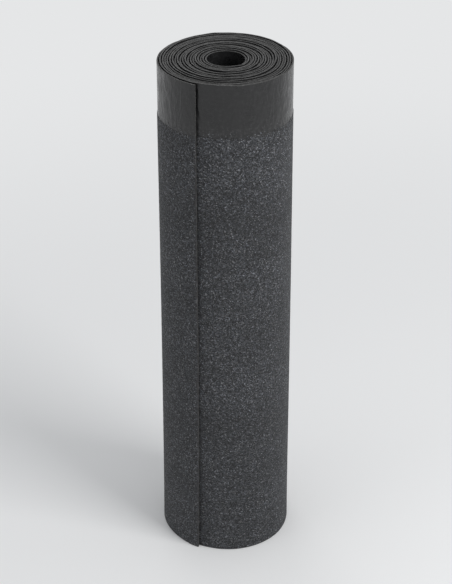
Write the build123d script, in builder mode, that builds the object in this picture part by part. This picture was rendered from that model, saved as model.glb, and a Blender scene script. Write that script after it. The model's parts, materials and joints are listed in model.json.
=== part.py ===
"""One roll of mineral-faced bitumen roofing felt, standing on its end.

The sheet is wound with its granules outwards. It stands on its granule edge, so the bare lap
margin is at the top. +Z runs up the bore, and the origin is on the bore's axis at the base.
Millimetres.
"""

import os
from math import acos, cos, degrees, pi, radians, sin

from build123d import *

# The sheet, laid flat
sheet_width = 1000.0
sheet_length = 10000.0
sheet_thickness = 4.0  # over the granules
granule_depth = 1.0  # the granules' share of the thickness
margin_width = 100.0  # the lap margin along one edge, which has no granules

# The winding
bore_diameter = 70.0
winding_gap = 0.5  # air between one turn and the next
gap_depth = 12.0  # how far in from each end the gaps between the turns are open

pitch = sheet_thickness + winding_gap
bore_radius = bore_diameter / 2
bare_thickness = sheet_thickness - granule_depth
HALF_TURN = 180.0


def wind(length):
    """The wound sheet as half turns: the inner face's radius, and the degrees that it covers.

    Each is an arc. The even ones are centred on the bore and the odd ones half a pitch to its
    side, so that they join into a spiral.
    """
    turns = []
    radius = bore_radius
    while length > 0:
        half_turn_length = pi * (radius + sheet_thickness / 2)
        turns.append((radius, HALF_TURN * min(1, length / half_turn_length)))
        length -= half_turn_length
        radius += pitch / 2
    return turns


half_turns = wind(sheet_length)
last = len(half_turns) - 1
tail_sweep = half_turns[last][1]


def centre(index):
    """The centre of a half turn's arc."""
    return (pitch / 2 * (index % 2), 0)


def point(index, depth, sweep):
    """A point of a half turn, this deep into the sheet from its inner face, after this sweep."""
    radius = half_turns[index][0] + depth
    angle = radians(HALF_TURN * index + sweep)
    x, y = centre(index)
    return (x + radius * cos(angle), y + radius * sin(angle))


def arc(index, depth, begin, end):
    """Draws a half turn's arc between two sweeps, at this depth into the sheet."""
    radius = half_turns[index][0] + depth
    CenterArc(centre(index), radius, HALF_TURN * index + begin, end - begin)


def outline(thickness):
    """Draws the roll's outside: the last whole turn's outer face, and the sheet's cut end."""
    arc(last - 2, thickness, tail_sweep, HALF_TURN)
    arc(last - 1, thickness, 0, HALF_TURN)
    arc(last, thickness, 0, tail_sweep)
    Line(point(last, thickness, tail_sweep), point(last - 2, thickness, tail_sweep))


def gap_outline(thickness):
    """Draws the gap between the turns, from the sheet's inner end to below its outer one."""
    for depth in (thickness, pitch):
        for index in range(last - 2):
            arc(index, depth, 0, HALF_TURN)
        arc(last - 2, depth, 0, tail_sweep)
    Line(point(0, thickness, 0), point(0, pitch, 0))
    Line(point(last - 2, thickness, tail_sweep), point(last - 2, pitch, tail_sweep))


with BuildPart() as felt_roll:
    # The whole width at the thickness of the bare sheet
    with BuildSketch():
        with BuildLine():
            outline(bare_thickness)
        make_face()
    extrude(amount=sheet_width)

    # The granules, over all but the lap margin
    with BuildSketch():
        with BuildLine():
            outline(sheet_thickness)
        make_face()
    extrude(amount=sheet_width - margin_width)

    # The bore
    with BuildSketch():
        Circle(bore_radius)
    extrude(amount=sheet_width, mode=Mode.SUBTRACT)

    # The wedge of air where the first turn leaves the bore's round to climb over the inner end
    with BuildSketch():
        with BuildLine():
            climb = degrees(acos(bore_radius / (bore_radius + pitch)))
            leaves = CenterArc((0, 0), bore_radius, -climb, climb)
            Line(leaves @ 1, (bore_radius + pitch, 0))
            Line((bore_radius + pitch, 0), leaves @ 0)
        make_face()
    extrude(amount=sheet_width, mode=Mode.SUBTRACT)

    # The turns, as they show on the base
    with BuildSketch():
        with BuildLine():
            gap_outline(sheet_thickness)
        make_face()
    extrude(amount=gap_depth, mode=Mode.SUBTRACT)

    # The turns, as they show on the top, where the lap margin leaves them further apart
    with BuildSketch(Plane.XY.offset(sheet_width)):
        with BuildLine():
            gap_outline(bare_thickness)
        make_face()
    extrude(amount=-gap_depth, mode=Mode.SUBTRACT)

felt_roll.part.label = "felt_roll"

os.makedirs("parts", exist_ok=True)
export_step(felt_roll.part, "parts/felt_roll.step")

box = felt_roll.part.bounding_box()
print(f"turns {last / 2 + tail_sweep / 360:.2f}, tail after {HALF_TURN * last + tail_sweep:.1f} deg")
print(f"size {box.size.X:.1f} x {box.size.Y:.1f} x {box.size.Z:.1f} mm")
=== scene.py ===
"""The looks of one roll of mineral-faced bitumen roofing felt, standing on its end.

The piece is the sheet itself, wound up from its own length, width and thickness, with its bare lap
margin at the top. Metres, in the solid's frame: +Z runs up the bore, and the base is at zero.

The sheet is a mesh of stations and rows. A station is a place along it, counted in turns from its
inner end, and a row is one point of the loop round its cross-section.
"""

import json
import math
from typing import NamedTuple

import bpy
import numpy as np
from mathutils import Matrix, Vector


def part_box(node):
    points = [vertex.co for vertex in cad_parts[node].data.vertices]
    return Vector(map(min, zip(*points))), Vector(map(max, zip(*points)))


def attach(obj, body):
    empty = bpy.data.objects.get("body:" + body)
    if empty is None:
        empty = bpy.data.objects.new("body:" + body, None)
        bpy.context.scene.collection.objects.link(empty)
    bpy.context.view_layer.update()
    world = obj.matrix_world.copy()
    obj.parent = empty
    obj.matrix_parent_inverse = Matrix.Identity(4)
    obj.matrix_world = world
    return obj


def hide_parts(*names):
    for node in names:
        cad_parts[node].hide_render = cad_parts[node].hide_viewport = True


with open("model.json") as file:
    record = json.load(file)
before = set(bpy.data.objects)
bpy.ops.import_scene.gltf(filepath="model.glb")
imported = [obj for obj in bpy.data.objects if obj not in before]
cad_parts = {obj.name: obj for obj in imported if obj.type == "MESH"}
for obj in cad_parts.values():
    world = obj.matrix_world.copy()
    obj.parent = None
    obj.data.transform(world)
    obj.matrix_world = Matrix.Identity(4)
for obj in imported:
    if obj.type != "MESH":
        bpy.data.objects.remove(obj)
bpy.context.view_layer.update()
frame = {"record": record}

MM = 0.001

# The sheet. Its width, and the bore that it is wound round, come from the frame
base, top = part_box("felt_roll")
bore = next(mount for mount in frame["record"]["mounts"] if mount["name"] == "bore")
SHEET_WIDTH = top.z - base.z
SHEET_LENGTH = 10.0
THICKNESS = 4.0 * MM  # over the granules
BARE_THICKNESS = 3.0 * MM  # on the lap margin
MARGIN_WIDTH = 100 * MM
MARGIN_LINE = SHEET_WIDTH - MARGIN_WIDTH
BEVEL = 0.4 * MM  # the worn corners of the cut edges

# The winding, counted in turns from the sheet's inner end
BORE_RADIUS = bore["dims"]["r_mm"] * MM
ROLL_RADIUS = top.x
WINDING_GAP = 0.5 * MM  # air between one turn and the next
PITCH = THICKNESS + WINDING_GAP
FIRST_CLIMB = 0.077  # of a turn: where the first turn steps up over the sheet's inner end
EVEN_CLIMB = 0.5  # of a turn: how far that step has spread in the outer turns
CLIMB_SPREAD = 3.0  # turns over which it spreads

# How far the turns' ends stray from the true spiral
WINDING_SEED = 7
END_DRIFT = 1.0 * MM  # up and down, slowly
END_RIPPLE = 0.22 * MM  # and from one hand's breadth to the next
BASE_SHARE = 0.25  # of that at the base, which the roll's weight has pushed level
TOP_PLAY = (0.26 * MM, 0.55 * MM)  # sideways in the wide gaps of the lap margin: usual and most
BASE_PLAY = (0.07 * MM, 0.18 * MM)  # and in the narrow gaps at the base
TOP_PLAY_REACH = 0.15 * SHEET_WIDTH  # how far in from each end that is felt
BASE_PLAY_REACH = 0.10 * SHEET_WIDTH

# How far the roll is out of round and out of the upright. Angles are in radians
LOBES = ((2, 0.9 * MM, 0.7, 0.6), (3, 0.45 * MM, 2.0, -1.5))  # how many, size, start and twist
WAISTS = ((5.2, 0.5 * MM, 0.6), (8.3, 0.15 * MM, 2.0))  # waves up the roll, as waves_up() has them
FLAT_DEPTH = 1.4 * MM  # where the roll has lain on its side
FLAT_ANGLE = 0.5584
FLAT_SPREAD = 0.35
FOOT = 1.2 * MM  # where the roll's weight spreads its turns
FOOT_HEIGHT = 70 * MM
BOW = (1.6 * MM, -1.2 * MM)  # along x at the middle of the roll, and along y above it

# How far the outer turn has sprung open
BULGE_SEED = 9
BULGE = 0.22 * MM
BULGE_WAVES = 14
BULGE_BEGINS = 0.25  # of a turn, over which it comes free where nothing covers it any more
LIFTED_LENGTH = 70 * MM  # of the sheet's outer end
END_LIFT = 0.9 * MM  # at the crest of its waves
LIFT_WAVES = ((9, 0.25, 1.0), (23, 0.15, 0.0))  # their sizes are shares of that
CORNER_LIFT = 2.2 * MM

# The relief of the outer turn that is mesh and not bump
GRIT_SEED = 8
GRANULE_GRIT = 0.13 * MM
FILM_GRIT = 0.03 * MM
CUT_WOBBLE = 0.25 * MM  # of the cut at the sheet's outer end

# The ragged line where the granules' thickness begins
RAGGED_SEED = 10
RAGGED_STEP = 0.5 * MM
RAGGED_MOST = 1.3 * MM

# The mesh
COARSE_STATIONS = 90  # to a turn, in the turns that are covered
FINE_STATIONS = 200  # to a turn, in the outer one
FINE_OVERLAP = 0.03  # of a turn, by which the fine mesh starts below the sheet's outer end
FINE_ROW = 4.2 * MM
MARGIN_ROW = 5 * MM
INNER_ROW = 50 * MM
COVERED_ROWS = 5  # between the rims of a covered turn
BASE_RIM = 12 * MM  # how far in from its end a covered turn's wall shows in the gap
TOP_RIM = 15 * MM
EDGE_SKIN = np.array([0.15, 0.85])  # the skin of a cut edge's two rows, as Rows has it
SHARP_ANGLE = math.radians(38)


def wound_turns(length):
    """How many turns a sheet of this length makes round the bore."""
    turns = 0.0
    radius = BORE_RADIUS + THICKNESS / 2
    while length > math.pi * radius:
        length -= math.pi * radius
        radius += PITCH / 2
        turns += 0.5
    return turns + length / (math.tau * radius)


def inner_face(turns):
    """The radius of the sheet's inner face, this many turns from its inner end.

    Near the bore a turn is round until it steps up over the inner end. Further out the step has
    spread over half a turn, and the turns make the solid's spiral.
    """
    turn = np.floor(turns)
    climb = EVEN_CLIMB - (EVEN_CLIMB - FIRST_CLIMB) * np.exp(-turn / CLIMB_SPREAD)
    share = np.clip((turns - turn - 1 + climb) / climb, 0, 1)
    return BORE_RADIUS + PITCH * (turn + (1 - np.cos(math.pi * share)) / 2)


def whole_turns(turn):
    """The whole turns up to a station, also where rounding has left it just short of one."""
    return math.floor(turn + 1e-9)


def wander(rng, at, shortest, longest):
    """A smooth random curve with a spread of 1, made of waves between these lengths."""
    waves = 10
    lengths = np.geomspace(shortest, longest, waves)
    phases = rng.uniform(0, math.tau, waves)
    curves = [np.sin(math.tau * at / length + phase) for length, phase in zip(lengths, phases)]
    return sum(curves) * math.sqrt(2 / waves)


def waves_up(height, waves):
    """These waves up the roll, added up. Each has its radians to a metre, its size and its start."""
    return sum(size * np.sin(rate * height + start) for rate, size, start in waves)


def smooth(x):
    """From 0 to 1 as x does, level at both ends."""
    x = np.clip(x, 0, 1)
    return x * x * (3 - 2 * x)


# The stations along the sheet
TAIL = wound_turns(SHEET_LENGTH)
FINE_START = math.floor((TAIL - 1 - FINE_OVERLAP) * COARSE_STATIONS) / COARSE_STATIONS
coarse_turns = np.arange(round(FINE_START * COARSE_STATIONS)) / COARSE_STATIONS
fine_turns = np.linspace(FINE_START, TAIL, round((TAIL - FINE_START) * FINE_STATIONS) + 1)
coarse_count = len(coarse_turns)
turns = np.concatenate([coarse_turns, fine_turns])
mid_radius = inner_face(turns) + THICKNESS / 2
steps = np.diff(turns) * math.tau * (mid_radius[1:] + mid_radius[:-1]) / 2
along = np.concatenate([[0], np.cumsum(steps)])  # metres of sheet from its inner end


def levels(fine):
    """The heights of the rows on the inner face and on the outer one, both from the base up."""
    low = [BEVEL, BASE_RIM]
    high = [SHEET_WIDTH - TOP_RIM, SHEET_WIDTH - BEVEL]
    step = MARGIN_LINE + np.array([-2.2, -0.5, 0.5, 2.2]) * MM  # where the thickness changes
    if not fine:
        between = SHEET_WIDTH * np.linspace(0.1, 0.9, COVERED_ROWS)
        inner = np.concatenate([low, between, high])
        return inner, np.concatenate([low, between[:-1], step[1:3], high])
    between = np.arange(1, round(SHEET_WIDTH / INNER_ROW)) * INNER_ROW
    inner = np.concatenate([low, between, high])
    granules = np.linspace(BEVEL, step[0], round(step[0] / FINE_ROW))[:-1]
    margin = np.linspace(step[-1], SHEET_WIDTH - BEVEL, round(MARGIN_WIDTH / MARGIN_ROW))[1:]
    return inner, np.concatenate([granules, step, margin])


class Rows(NamedTuple):
    """The sheet's cross-section as a loop of points: up the inner face and down the outer one."""

    height: np.ndarray
    depth: np.ndarray  # from the inner face
    skin: np.ndarray  # 0 on the inner face, 1 on the outer one, and between them on the cut edges


def profile(fine):
    """The rows of the covered turns, or the fine ones of the outer turn."""
    inner, outer = levels(fine)
    outer = outer[::-1]
    outer_depth = np.where(outer > MARGIN_LINE, BARE_THICKNESS, THICKNESS)
    height = np.concatenate([inner, [SHEET_WIDTH] * 2, outer, [0, 0]])
    depth = np.concatenate([
        0 * inner, [BEVEL, BARE_THICKNESS - BEVEL], outer_depth, [THICKNESS - BEVEL, BEVEL]
    ])
    skin = np.concatenate([0 * inner, EDGE_SKIN, 0 * outer + 1, EDGE_SKIN[::-1]])
    return Rows(height, depth, skin)


coarse_rows = profile(fine=False)
fine_rows = profile(fine=True)
coarse_loop = len(coarse_rows.height)
fine_loop = len(fine_rows.height)


def end_shifts(rng):
    """How far each station's top edge is above its true height, and its bottom edge off the floor."""
    shift = wander(rng, along, 0.5, 6.0) * END_DRIFT + wander(rng, along, 0.03, 0.3) * END_RIPPLE
    return shift, (shift - shift.min()) * BASE_SHARE


def end_play(rng):
    """How far each station's top and bottom edges lean out of the true spiral, within their gaps."""
    play = wander(rng, along, 0.08, 0.7) + 0.5 * wander(rng, along, 0.9, 5.0)
    return [np.clip(play * usual, -most, most) for usual, most in (TOP_PLAY, BASE_PLAY)]


winding = np.random.default_rng(WINDING_SEED)
top_shift, base_shift = end_shifts(winding)
top_play, base_play = end_play(winding)


def out_of_round(angle, height):
    """The whole roll's departure from round, which grows from the bore outwards."""
    share = height / SHEET_WIDTH
    from_flat = (angle - FLAT_ANGLE + math.pi) % math.tau - math.pi
    lobes = sum(
        size * np.cos(count * angle + start + twist * share) for count, size, start, twist in LOBES
    )
    flat = -FLAT_DEPTH * np.exp(-((from_flat / FLAT_SPREAD) ** 2))
    foot = FOOT * np.exp(-height / FOOT_HEIGHT)
    return lobes + flat + foot + waves_up(height, WAISTS)


def bow(height):
    """How far the roll leans out of the upright at this height, as x and y."""
    share = height / SHEET_WIDTH
    return BOW[0] * np.sin(math.pi * share), BOW[1] * np.sin(math.pi * share) * share


def loose_turn(turn, angle, height):
    """How far the outer turn bulges off the one below it, and lifts at its end."""
    rng = np.random.default_rng(BULGE_SEED)
    swell = 0
    for _ in range(BULGE_WAVES):
        rounds = rng.integers(1, 7)
        rate = rng.uniform(1.5, 11)  # radians to a metre of height
        swell = swell + np.sin(rounds * angle + rate * height + rng.uniform(0, math.tau))
    free = smooth((turn - (TAIL - 1)) / BULGE_BEGINS)
    to_end = (TAIL - turn) * math.tau * ROLL_RADIUS
    corner = np.abs(2 * height / SHEET_WIDTH - 1) ** 4
    lift = END_LIFT * (0.5 + waves_up(height, LIFT_WAVES)) + CORNER_LIFT * corner
    return free * BULGE * (1 + swell / 4) + lift * smooth(1 - to_end / LIFTED_LENGTH) ** 1.5


def roughened(turn, height, depth, skin):
    """The outer turn's stations and depths, with grit on its face and a crooked cut at its end."""
    rng = np.random.default_rng(GRIT_SEED)
    grit = rng.uniform(-1, 1, (turn.size, height.size))
    on_granules = (skin == 1) & (height < MARGIN_LINE)
    most = np.where(on_granules, GRANULE_GRIT, FILM_GRIT * (skin == 1))
    wobble = wander(rng, height, 0.004, 0.1) * CUT_WOBBLE
    crooked = np.where(turn == TAIL, wobble / (math.tau * ROLL_RADIUS), 0)
    return turn + crooked, depth + grit * most


def ragged_line(along_sheet):
    """How far the line where the thickness changes strays up and down, along the sheet."""
    rng = np.random.default_rng(RAGGED_SEED)
    ragged = wander(rng, along_sheet, 0.006, 0.05) + wander(rng, along_sheet, 0.2, 1.0)
    return np.clip(RAGGED_STEP * ragged, -RAGGED_MOST, RAGGED_MOST)


def surface(rows, first, last, fine):
    """Places the profile's points at the stations from first to last, as (station, row, xyz).

    It also gives where each lies on the flat sheet: along it, up it, and its skin.
    """
    height, depth, skin = (value[None, :] for value in rows)
    turn = turns[first:last, None]
    along_sheet = along[first:last, None]
    if fine:
        turn, depth = roughened(turn, height, depth, skin)
    angle = math.tau * turn
    share = height / SHEET_WIDTH

    radius = inner_face(turn) + depth
    radius = radius * (1 + out_of_round(angle, height) / ROLL_RADIUS)
    radius = radius + top_play[first:last, None] * smooth(1 - (SHEET_WIDTH - height) / TOP_PLAY_REACH)
    radius = radius + base_play[first:last, None] * smooth(1 - height / BASE_PLAY_REACH)
    if fine:
        radius = radius + loose_turn(turn, angle, height)

    at_step = np.abs(height - MARGIN_LINE) < 1 * MM  # the two rows that the step is between
    flat_height = height + at_step * ragged_line(along_sheet)
    z = flat_height + top_shift[first:last, None] * share + base_shift[first:last, None] * (1 - share)
    aside_x, aside_y = bow(height)
    x = aside_x + radius * np.cos(angle)
    y = aside_y + radius * np.sin(angle)
    sheet_places = np.stack(np.broadcast_arrays(along_sheet, flat_height, skin), axis=-1)
    return np.stack([x, y, z], axis=-1), sheet_places


# The map for the finish, from left to right
PIXEL = 1 / 1024
MAP_EDGE = 4 * PIXEL
COLUMN_GAP = 2 * PIXEL
WALL_RIGHT = 0.80  # up to here it is the outer turn's outer face
BORE_LEFT = WALL_RIGHT + 6 * PIXEL  # then the first turn's inner face
BORE_COLUMN = 16 * PIXEL
CUT_LEFT = BORE_LEFT + BORE_COLUMN  # then the sheet's inner and outer cut ends
CUT_COLUMN = 5 * PIXEL
RING_LEFT = CUT_LEFT + 2 * CUT_COLUMN  # then columns for the turns' edges and covered faces
TURNS_TO_COLUMN = 2
RING_COLUMN = (1 - MAP_EDGE - RING_LEFT) / math.ceil(TAIL / TURNS_TO_COLUMN)
RING_HEIGHT = (1 - MAP_EDGE) / TURNS_TO_COLUMN
RIM_SHARE = 2.0 * MM  # the width that a column gives the strip of wall that shows in a gap
HIDDEN_SHARE = 0.15 * MM  # and a strip deeper in


def up_map(share):
    """A share of the map's whole height, between its edges."""
    return MAP_EDGE + share * (1 - 2 * MAP_EDGE)


def wall_place(turn, height):
    """A place on the outer turn's outer face."""
    right = MAP_EDGE + (turn - FINE_START) / (TAIL - FINE_START) * (WALL_RIGHT - MAP_EDGE)
    return right, up_map(height / SHEET_WIDTH)


def bore_place(turn, height):
    """A place on the first turn's inner face, with the bore's height across the column."""
    return BORE_LEFT + height / SHEET_WIDTH * (BORE_COLUMN - COLUMN_GAP), up_map(turn)


def cut_place(column, height, depth):
    """A place on the sheet's cut end, inner or outer."""
    left = CUT_LEFT + column * CUT_COLUMN
    return left + depth / THICKNESS * (CUT_COLUMN - COLUMN_GAP), up_map(height / SHEET_WIDTH)


def ring_place(turn, ring, across):
    """A place among one turn's edges and covered faces, in the column that holds this ring."""
    column, row = divmod(ring, TURNS_TO_COLUMN)
    up = MAP_EDGE + row * RING_HEIGHT + (turn - ring) * (RING_HEIGHT - MAP_EDGE)
    return RING_LEFT + (column + across) * RING_COLUMN, up


def column_places(rows):
    """How far across its column each row lies, from 0 to 1, with the loop's end as one more."""
    height, depth, skin = rows
    widths = np.hypot(np.diff(height, append=height[0]), np.diff(depth, append=depth[0]))
    wall = (skin == np.roll(skin, -1)) & ((skin == 0) | (skin == 1))
    deep = wall & np.roll(wall, 1) & np.roll(wall, -1)
    widths = np.where(deep, HIDDEN_SHARE, np.where(wall, RIM_SHARE, widths))
    places = np.concatenate([[0], np.cumsum(widths)])
    return places / places[-1]


def shared_rows():
    """For each row of the coarse loop, and for its end, the row of the fine loop that it meets."""
    met = []
    for height, skin in zip(coarse_rows.height, coarse_rows.skin):
        same_side = np.flatnonzero(fine_rows.skin == skin)
        met.append(int(same_side[np.abs(fine_rows.height[same_side] - height).argmin()]))
    return met + [fine_loop]


met_rows = shared_rows()
coarse_across = column_places(coarse_rows)
fine_across = np.interp(np.arange(fine_loop + 1), met_rows, coarse_across)
first_outer, *_, last_outer = np.flatnonzero(fine_rows.skin == 1)


def grid(first_vertex, stations, rows, across, fine):
    """The faces between neighbouring stations, and the map places of their corners."""
    loop = len(rows.height)
    height = np.append(rows.height, rows.height[0])
    faces, corners = [], []
    for k in range(len(stations) - 1):
        here, there = stations[k], stations[k + 1]
        ring = whole_turns(here)
        start = first_vertex + k * loop
        for j in range(loop):
            after = (j + 1) % loop
            faces.append((start + j, start + after, start + loop + after, start + loop + j))
            spots = ((here, j), (here, j + 1), (there, j + 1), (there, j))
            if fine and first_outer <= j < last_outer:
                corners += [wall_place(turn, height[row]) for turn, row in spots]
            elif ring == 0 and rows.skin[j] == rows.skin[after] == 0:
                corners += [bore_place(turn, height[row]) for turn, row in spots]
            else:
                corners += [ring_place(turn, ring, across[row]) for turn, row in spots]
    return faces, corners


def joint_faces():
    """The faces between the last coarse station and the first fine one."""
    faces, corners = [], []
    left = (coarse_count - 1) * coarse_loop
    right = coarse_count * coarse_loop
    here, there = coarse_turns[-1], fine_turns[0]
    ring = whole_turns(here)
    for j in range(coarse_loop):
        fine_span = range(met_rows[j + 1], met_rows[j] - 1, -1)
        faces.append(
            (left + j, left + (j + 1) % coarse_loop, *(right + row % fine_loop for row in fine_span))
        )
        corners += [ring_place(here, ring, coarse_across[row]) for row in (j, j + 1)]
        corners += [ring_place(there, ring, fine_across[row]) for row in fine_span]
    return faces, corners


def cut_faces(first_vertex, rows, column, outwards):
    """The faces that close the sheet at one of its cut ends, in fans from its inner side's rows."""
    height, depth, skin = rows
    inner = np.flatnonzero(skin == 0)
    outer = np.flatnonzero(skin == 1)[::-1]
    cuts = [int(np.abs(height[outer] - height[row]).argmin()) for row in inner]
    cuts[0], cuts[-1] = 0, len(outer) - 1
    loops = [
        [inner[-1], inner[-1] + 1, inner[-1] + 2, outer[-1]],
        [outer[0], outer[0] + 1, outer[0] + 2, inner[0]],
    ]
    for i in range(len(inner) - 1):
        strip = outer[cuts[i]:cuts[i + 1] + 1]
        middle = len(strip) // 2
        loops.append([inner[i], inner[i + 1], strip[middle]])
        for k in range(len(strip) - 1):
            loops.append([inner[i] if k < middle else inner[i + 1], strip[k + 1], strip[k]])
    faces, corners = [], []
    for loop in loops:
        loop = loop if outwards else loop[::-1]
        faces.append(tuple(first_vertex + int(row) for row in loop))
        corners += [cut_place(column, height[row], depth[row]) for row in loop]
    return faces, corners


def placed(name, data):
    """A new object with this mesh, lamp or camera, in the scene."""
    thing = bpy.data.objects.new(name, data)
    bpy.context.scene.collection.objects.link(thing)
    return thing


def felt_sheet():
    """The wound sheet, as one closed mesh."""
    coarse_places, coarse_sheet = surface(coarse_rows, 0, coarse_count, fine=False)
    fine_places, fine_sheet = surface(fine_rows, coarse_count, len(turns), fine=True)
    places = np.concatenate([coarse_places.reshape(-1, 3), fine_places.reshape(-1, 3)])
    sheet_places = np.concatenate([coarse_sheet.reshape(-1, 3), fine_sheet.reshape(-1, 3)])
    fine_first = coarse_count * coarse_loop
    last_station = fine_first + (len(fine_turns) - 1) * fine_loop
    parts = [
        grid(0, coarse_turns, coarse_rows, coarse_across, fine=False),
        joint_faces(),
        grid(fine_first, fine_turns, fine_rows, fine_across, fine=True),
        cut_faces(0, coarse_rows, 0, outwards=False),
        cut_faces(last_station, fine_rows, 1, outwards=True),
    ]
    faces = [face for part in parts for face in part[0]]
    corners = [corner for part in parts for corner in part[1]]
    mesh = bpy.data.meshes.new("felt_sheet")
    mesh.from_pydata(places.tolist(), [], faces)
    flat = mesh.attributes.new("sheet", "FLOAT_VECTOR", "POINT")
    flat.data.foreach_set("vector", sheet_places.ravel())
    mesh.uv_layers.new(name="OFBake").data.foreach_set("uv", np.array(corners).ravel())
    mesh.polygons.foreach_set("use_smooth", [True] * len(faces))
    mesh.set_sharp_from_angle(angle=SHARP_ANGLE)
    mesh.validate()
    return placed("felt_sheet", mesh)


class Nodes:
    """A material's or a world's nodes, made and joined in the order that they are written."""

    def __init__(self, owner):
        owner.use_nodes = True
        self.tree = owner.node_tree

    def feed(self, node, inputs):
        """Sets a node's inputs. Each is a value or another node's output."""
        for key, value in dict(inputs).items():
            if isinstance(value, bpy.types.NodeSocket):
                self.tree.links.new(value, node.inputs[key])
            else:
                node.inputs[key].default_value = value
        return node

    def own(self, name, inputs):
        """Sets inputs of a node that the material or world has from the start."""
        return self.feed(self.tree.nodes[name], inputs)

    def add(self, kind, inputs=(), **settings):
        """A new node of this kind."""
        node = self.tree.nodes.new("ShaderNode" + kind)
        for name, value in settings.items():
            setattr(node, name, value)
        return self.feed(node, inputs)

    def math(self, operation, *values):
        """The result of one sum."""
        return self.add("Math", enumerate(values), operation=operation).outputs[0]

    def vector(self, operation, *values, **named):
        """The result of one sum of vectors."""
        node = self.add("VectorMath", {**dict(enumerate(values)), **named}, operation=operation)
        return node.outputs["Value" if operation in ("DOT_PRODUCT", "LENGTH") else "Vector"]

    def ramp(self, value, low, high, to_low=0.0, to_high=1.0):
        """The value, from low to high, as a number from to_low to to_high, and no further."""
        inputs = {"Value": value, "From Min": low, "From Max": high, "To Min": to_low, "To Max": to_high}
        return self.add("MapRange", inputs, interpolation_type="SMOOTHSTEP").outputs[0]

    def mix(self, share, first, second):
        """The first colour, or the second one where share is 1."""
        return self.add("Mix", {0: share, 6: first, 7: second}, data_type="RGBA").outputs[2]

    def blend(self, share, first, second):
        """The first number, or the second one where share is 1."""
        return self.add("Mix", {0: share, 2: first, 3: second}, data_type="FLOAT").outputs[0]

    def noise(self, vector, scale, detail=2.0, roughness=0.5, output="Fac"):
        """Smooth noise from 0 to 1, about 1/scale metres from one blotch to the next."""
        inputs = {"Vector": vector, "Scale": scale, "Detail": detail, "Roughness": roughness}
        return self.add("TexNoise", inputs).outputs[output]

    def streaks(self, flat, along_scale, up_scale, detail=3.0):
        """Noise with its own scale along the sheet and up it."""
        return self.noise(self.vector("MULTIPLY", flat, (along_scale, up_scale, 1)), 1, detail)


# The granules
GRANULE = 1.9 * MM
CHIP = 0.7 * MM  # the small stone that fills the joints between the granules
CROOKED = 0.6 * MM  # how far a granule's outline wanders
CROOKED_WAVE = 1.3 * MM
JOINT = 0.16  # of a granule: how far the smallest ones keep inside their cells
RAGGED = 3.5 * MM  # the band in which the granules thin out at the margin's line
WORN = 5.0 * MM  # the band in which they have come off along the sheet's cut edges
STRAY_REACH = 16 * MM  # how far past the line single granules still lie
STRAY_SHARE = 0.18  # of the places just past it that have one
CHIP_HEIGHT = 0.18 * MM
HALF = (0.5, 0.5, 0.5)
GREYS = (  # of the stones, by their first random number
    (0.00, (0.003, 0.003, 0.004)),
    (0.24, (0.009, 0.009, 0.010)),
    (0.38, (0.038, 0.040, 0.043)),
    (0.72, (0.074, 0.077, 0.082)),
    (0.92, (0.150, 0.153, 0.160)),
    (1.00, (0.280, 0.281, 0.284)),
)
COOL_STONE = (0.93, 0.98, 1.09, 1)
WARM_STONE = (1.00, 0.98, 0.97, 1)
STONE_ROUGHNESS = 0.78
GLINT_ROUGHNESS = 0.40

# The film over smooth bitumen
FILM_DARK = (0.006, 0.006, 0.0065, 1)
FILM_LIGHT = (0.013, 0.013, 0.0135, 1)
FILM_DUST = (0.110, 0.110, 0.112, 1)
DUST_REACH = 45 * MM  # how far from the margin's line the granules' dust lies thick
PEEL_HEIGHT = 0.12 * MM
SWELL_HEIGHT = 1.1 * MM
CREASE_HEIGHT = 0.35 * MM

# The cut edges
CUT_DARK = (0.005, 0.005, 0.005, 1)
CUT_LIGHT = (0.034, 0.033, 0.032, 1)
CUT_FIBRE = (0.150, 0.146, 0.140, 1)
CUT_STONE = (0.095, 0.098, 0.105, 1)
CUT_DUST = (0.150, 0.150, 0.147, 1)
CUT_ROUGHNESS = 0.66
CUT_RELIEF = 0.22 * MM
HAIR = (1.5 * MM, 1.5 * MM, 0.15 * MM)  # a fibre's size along the sheet, up it and through it
CARRIER_SKIN = 0.45  # the skin where the carrier lies
STONE_SKIN = 0.72  # and where the granules begin

# The skin at which a cut edge begins, and where it gives way to the outer face
CUT_BEGINS = 0.02
CUT_ENDS = (0.93, 0.98)


class Finish(NamedTuple):
    """What the shader is fed. Each part is a node's output, or one number where it is even."""

    colour: bpy.types.NodeSocket
    rough: bpy.types.NodeSocket | float
    relief: bpy.types.NodeSocket  # metres, for the bump


def joined(n, share, first, second):
    """Two finishes as one: the first, or the second where share is 1."""
    return Finish(
        n.mix(share, first.colour, second.colour),
        n.blend(share, first.rough, second.rough),
        n.blend(share, first.relief, second.relief),
    )


def stones(n, place, size):
    """Stones of one size: how far inside its outline a place is, its numbers, centre and grey."""
    inputs = {"Vector": place, "Scale": 1 / size}
    cells = n.add("TexVoronoi", inputs, voronoi_dimensions="2D").outputs
    edges = n.add("TexVoronoi", inputs, voronoi_dimensions="2D", feature="DISTANCE_TO_EDGE").outputs
    own = n.add("SeparateColor", {0: cells["Color"]}).outputs
    inside = n.math("MULTIPLY_ADD", own[1], -JOINT, edges["Distance"])
    tones = n.add("ValToRGB", {0: own[0]})
    for at, _ in GREYS[1:-1]:
        tones.color_ramp.elements.new(at)
    for element, (at, colour) in zip(tones.color_ramp.elements, GREYS):
        element.position = at
        element.color = (*colour, 1)
    return inside, own, cells, tones.outputs[0]


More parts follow.
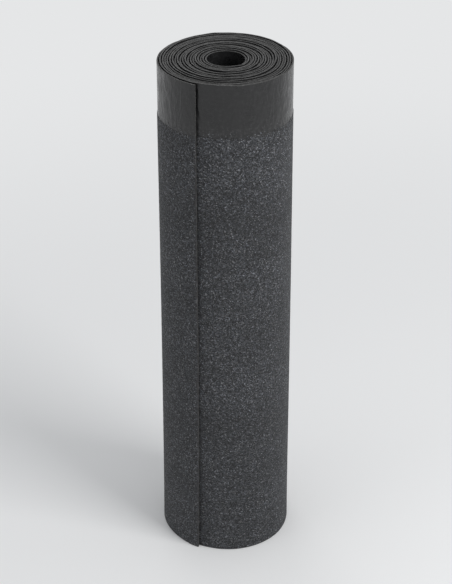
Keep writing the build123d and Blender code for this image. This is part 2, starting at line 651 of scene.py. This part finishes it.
def stone_cover(n, inside, own, cells):
    """1 where granules lie: all up to the margin's line, fewer at the cut edges, and strays past it."""
    along_sheet, height, _ = n.add("SeparateXYZ", {0: cells["Position"]}).outputs
    line = n.math("MULTIPLY_ADD", n.math("SUBTRACT", own[1], 0.5), RAGGED, MARGIN_LINE)
    to_edge = n.math("MINIMUM", height, n.math("SUBTRACT", along[-1], along_sheet))
    worn = n.math("MULTIPLY", n.math("POWER", own[2], 2.0), WORN)
    kept = n.math("MULTIPLY", n.math("LESS_THAN", height, line), n.math("GREATER_THAN", to_edge, worn))
    chance = n.math("FRACT", n.math("MULTIPLY", own[0], 37.7))  # a second random number
    needed = n.ramp(height, MARGIN_LINE, MARGIN_LINE + STRAY_REACH, 1 - STRAY_SHARE, 1.0)
    stray = n.math("GREATER_THAN", chance, needed)
    stray = n.math("MULTIPLY", stray, n.math("GREATER_THAN", inside, 0.03))
    return n.math("MAXIMUM", kept, stray)


def granules(n, flat):
    """Crushed stone pressed into bitumen. Gives where it lies on the outer face, and its finish."""
    crooked = n.noise(flat, 1 / CROOKED_WAVE, detail=1.0, output="Color")
    place = n.vector("MULTIPLY_ADD", n.vector("SUBTRACT", crooked, HALF), (CROOKED, CROOKED, 0), flat)
    inside, own, cells, grey = stones(n, place, GRANULE)
    chip_inside, _, _, chip_grey = stones(n, place, CHIP)
    cover = stone_cover(n, inside, own, cells)

    # Dark bitumen shows round the stones, and chips in the wider joints. The chips are painted darker,
    # most of all at their outlines, as painted shade in the joints
    chips = n.vector("SCALE", chip_grey, Scale=n.ramp(chip_inside, -0.02, 0.10, 0.08, 0.50))
    stone = n.ramp(inside, -0.01, 0.03)
    # Painted shade: each stone is darker towards its outline, where the stones meet. Random blotches and
    # bands of tone are multiplied in below
    painted_shade_and_tone = n.ramp(inside, 0.0, 0.12, 0.26, 1.0)
    for value, low, high in (
        (n.noise(flat, 1 / (4 * MM), detail=1), 0.60, 1.30),
        (n.noise(flat, 1 / (0.4 * MM), detail=1), 0.85, 1.15),
        (n.noise(flat, 9, detail=3), 0.90, 1.10),
        (n.streaks(flat, 0.4, 9), 0.82, 1.18),  # the soft bands along the sheet
    ):
        painted_shade_and_tone = n.math("MULTIPLY", painted_shade_and_tone, n.ramp(value, 0.3, 0.7, low, high))
    grey = n.vector("MULTIPLY", grey, n.mix(own[2], COOL_STONE, WARM_STONE))
    colour = n.mix(stone, chips, n.vector("SCALE", grey, Scale=painted_shade_and_tone))

    # A few have a face that glints, and each has its own height and slope
    rough = n.ramp(own[2], 0.90, 0.96, STONE_ROUGHNESS, GLINT_ROUGHNESS)
    rough = n.blend(stone, STONE_ROUGHNESS, rough)
    top = n.math("MULTIPLY", n.ramp(inside, -0.03, 0.20), n.ramp(own[1], 0, 1, 0.65, 0.25))
    offset = n.vector("SUBTRACT", place, cells["Position"])
    lean = n.vector("DOT_PRODUCT", offset, n.vector("SUBTRACT", cells["Color"], HALF))
    relief = n.math("MULTIPLY_ADD", top, MM, n.math("MULTIPLY", lean, stone))
    chip_top = n.math("MULTIPLY", n.ramp(chip_inside, -0.03, 0.2), CHIP_HEIGHT)
    return cover, Finish(colour, rough, n.math("MAXIMUM", relief, chip_top))


def film(n, flat, height):
    """Smooth bitumen under a thin crinkled film: the lap margin and the whole underside."""
    # The granules' dust, thickest at their line, and marks rubbed along the sheet
    from_line = n.math("ABSOLUTE", n.math("SUBTRACT", height, MARGIN_LINE))
    dust = n.ramp(n.noise(flat, 160, detail=6, roughness=0.75), 0.46, 0.74, 0.0, 0.5)
    dust = n.math("MULTIPLY", dust, n.ramp(from_line, 0.0, DUST_REACH, 1.0, 0.25))
    rubbed = n.ramp(n.streaks(flat, 4, 700), 0.52, 0.75, 0.0, 0.10)
    blotches = n.noise(flat, 45, detail=4)
    colour = n.mix(blotches, FILM_DARK, FILM_LIGHT)
    colour = n.mix(n.math("MAXIMUM", dust, rubbed), colour, FILM_DUST)
    rough = n.math("MULTIPLY_ADD", dust, 0.6, n.ramp(blotches, 0.3, 0.7, 0.24, 0.38))

    # Sharp creases where streaks of noise cross their middle, over a soft swell and orange peel
    crease = n.math("ABSOLUTE", n.math("MULTIPLY_ADD", n.streaks(flat, 75, 30, detail=1.5), 2.0, -1.0))
    crease = n.math("POWER", n.math("SUBTRACT", 1.0, crease), 7.0)
    peel = n.math("MULTIPLY", n.noise(flat, 380, detail=2), PEEL_HEIGHT)
    swell = n.math("MULTIPLY_ADD", n.streaks(flat, 95, 60, detail=1.0), SWELL_HEIGHT, peel)
    return Finish(colour, rough, n.math("MULTIPLY_ADD", crease, CREASE_HEIGHT, swell))


def cut_edge(n, flat, height, skin):
    """Cut bitumen: the carrier's fibres along its middle, stone along its outer side, and dust."""
    depth = n.add("CombineXYZ", {2: n.math("MULTIPLY", skin, THICKNESS)}).outputs[0]
    place = n.vector("ADD", flat, depth)
    grain = n.noise(place, 1 / (0.6 * MM), detail=3)

    from_carrier = n.math("ABSOLUTE", n.math("SUBTRACT", skin, CARRIER_SKIN))
    fibres = n.ramp(from_carrier, 0.04, 0.17, 1.0, 0.0)
    for value, low, high, least in (
        (n.noise(n.vector("DIVIDE", place, HAIR), 1, detail=2), 0.44, 0.62, 0.0),
        (n.noise(flat, 1 / (22 * MM), detail=3), 0.38, 0.62, 0.15),  # where the knife has bared them
    ):
        fibres = n.math("MULTIPLY", fibres, n.ramp(value, low, high, least, 1.0))

    below_line = n.math("LESS_THAN", height, MARGIN_LINE)
    stone = n.math("MULTIPLY", below_line, n.math("GREATER_THAN", skin, STONE_SKIN))
    stone = n.math("MULTIPLY", stone, n.ramp(n.noise(place, 1 / (1.4 * MM)), 0.48, 0.56))
    dust = n.ramp(n.noise(place, 120, detail=5, roughness=0.7), 0.47, 0.70, 0.0, 0.6)
    colour = n.mix(grain, CUT_DARK, CUT_LIGHT)
    for share, over in ((fibres, CUT_FIBRE), (stone, CUT_STONE), (dust, CUT_DUST)):
        colour = n.mix(share, colour, over)
    return Finish(colour, CUT_ROUGHNESS, n.math("MULTIPLY", grain, CUT_RELIEF))


def mineral_felt():
    """Granules on the outer face below the lap margin, film on the rest, and black cut edges."""
    material = bpy.data.materials.new("mineral_felt")
    n = Nodes(material)
    sheet = n.add("Attribute", attribute_name="sheet").outputs["Vector"]
    along_sheet, height, skin = n.add("SeparateXYZ", {0: sheet}).outputs
    flat = n.add("CombineXYZ", {0: along_sheet, 1: height}).outputs[0]

    outer = n.ramp(skin, *CUT_ENDS)
    cut = n.math("MULTIPLY", n.math("GREATER_THAN", skin, CUT_BEGINS), n.math("SUBTRACT", 1.0, outer))
    cover, stone = granules(n, flat)
    bare = joined(n, cut, film(n, flat, height), cut_edge(n, flat, height, skin))
    felt = joined(n, n.math("MULTIPLY", outer, cover), bare, stone)

    bump = n.add("Bump", {"Height": felt.relief, "Strength": 1.0, "Distance": 1.0}).outputs[0]
    n.own("Principled BSDF", {"Base Color": felt.colour, "Roughness": felt.rough, "Normal": bump})
    return material


sheet = felt_sheet()
sheet.data.materials.append(mineral_felt())
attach(sheet, "root")
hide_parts("felt_roll")

# The camera looks down on the roll's end at the photograph's angle
CAMERA_AZIMUTH = 40
END_ANGLE = math.radians(22.8)
CAMERA_DISTANCE = 3.0
AIM_HEIGHT = 0.52 * SHEET_WIDTH
LENS = 112

# The floor and the light
FLOOR_COLOUR = (0.86, 0.86, 0.855, 1)
FLOOR_REACH = 20.0
FADE_BEGINS = 0.7  # metres from the bore, where the floor begins to fade into the backdrop
FADE_ENDS = 2.4
BACKDROP = {"Color": (0.98, 0.99, 1.0, 1), "Strength": 0.80}
SKY = {"Color": (0.95, 0.97, 1.0, 1), "Strength": 0.56}


def seen_directly(n):
    """1 for what the camera sees directly, in a mirror or through glass, and 0 for other light."""
    path = n.add("LightPath").outputs
    seen = n.math("MAXIMUM", path["Is Camera Ray"], path["Is Glossy Ray"])
    return n.math("MAXIMUM", seen, path["Is Transmission Ray"])


def floor():
    """A plain pale floor, which keeps the shadow and fades into the backdrop further out."""
    mesh = bpy.data.meshes.new("floor")
    sides = ((-1, -1), (1, -1), (1, 1), (-1, 1))
    mesh.from_pydata([(FLOOR_REACH * x, FLOOR_REACH * y, 0) for x, y in sides], [], [(0, 1, 2, 3)])
    material = bpy.data.materials.new("floor")
    n = Nodes(material)
    floor_finish = {"Base Color": FLOOR_COLOUR, "Roughness": 1.0, "Specular IOR Level": 0.0}
    near = n.own("Principled BSDF", floor_finish).outputs[0]
    distance = n.vector("LENGTH", n.add("NewGeometry").outputs["Position"])
    share = n.math("MULTIPLY", seen_directly(n), n.ramp(distance, FADE_BEGINS, FADE_ENDS))
    far = n.add("Emission", BACKDROP).outputs[0]
    n.own("Material Output", {"Surface": n.add("MixShader", {0: share, 1: near, 2: far}).outputs[0]})
    mesh.materials.append(material)
    placed("floor", mesh)


def sky():
    """Even light from all round, with the backdrop in its place for the camera."""
    world = bpy.data.worlds.new("world")
    n = Nodes(world)
    light = n.own("Background", SKY).outputs[0]
    backdrop = n.add("Background", BACKDROP).outputs[0]
    both = n.add("MixShader", {0: seen_directly(n), 1: light, 2: backdrop}).outputs[0]
    n.own("World Output", {"Surface": both})
    bpy.context.scene.world = world


def aim(thing, place, target):
    """Puts a camera or lamp at a place, looking at a target."""
    thing.location = place
    thing.rotation_euler = (Vector(target) - Vector(place)).to_track_quat("-Z", "Y").to_euler()


def from_camera(turn, distance, height):
    """A point round the roll, turned to the camera's right by this many degrees."""
    angle = math.radians(CAMERA_AZIMUTH - 90 + turn)
    return (distance * math.cos(angle), distance * math.sin(angle), height)


def camera():
    """The camera, as the scene's own."""
    view = bpy.data.cameras.new("camera")
    view.lens = LENS
    thing = placed("camera", view)
    height = SHEET_WIDTH + CAMERA_DISTANCE * math.tan(END_ANGLE)
    aim(thing, from_camera(0, CAMERA_DISTANCE, height), (0, 0, AIM_HEIGHT))
    bpy.context.scene.camera = thing


def softbox(name, turn, distance, height, size, power):
    """A square lamp that looks at the middle of the roll."""
    lamp = bpy.data.lights.new(name, "AREA")
    lamp.size = size
    lamp.energy = power
    aim(placed(name, lamp), from_camera(turn, distance, height), (0, 0, SHEET_WIDTH / 2))


camera()
floor()
softbox("key", turn=55, distance=2.6, height=2.4, size=1.6, power=58)
softbox("fill", turn=-60, distance=3.0, height=1.6, size=1.8, power=8)
softbox("back", turn=195, distance=3.0, height=2.0, size=1.8, power=14)
sky()

bpy.context.scene.view_settings.view_transform = "Standard"
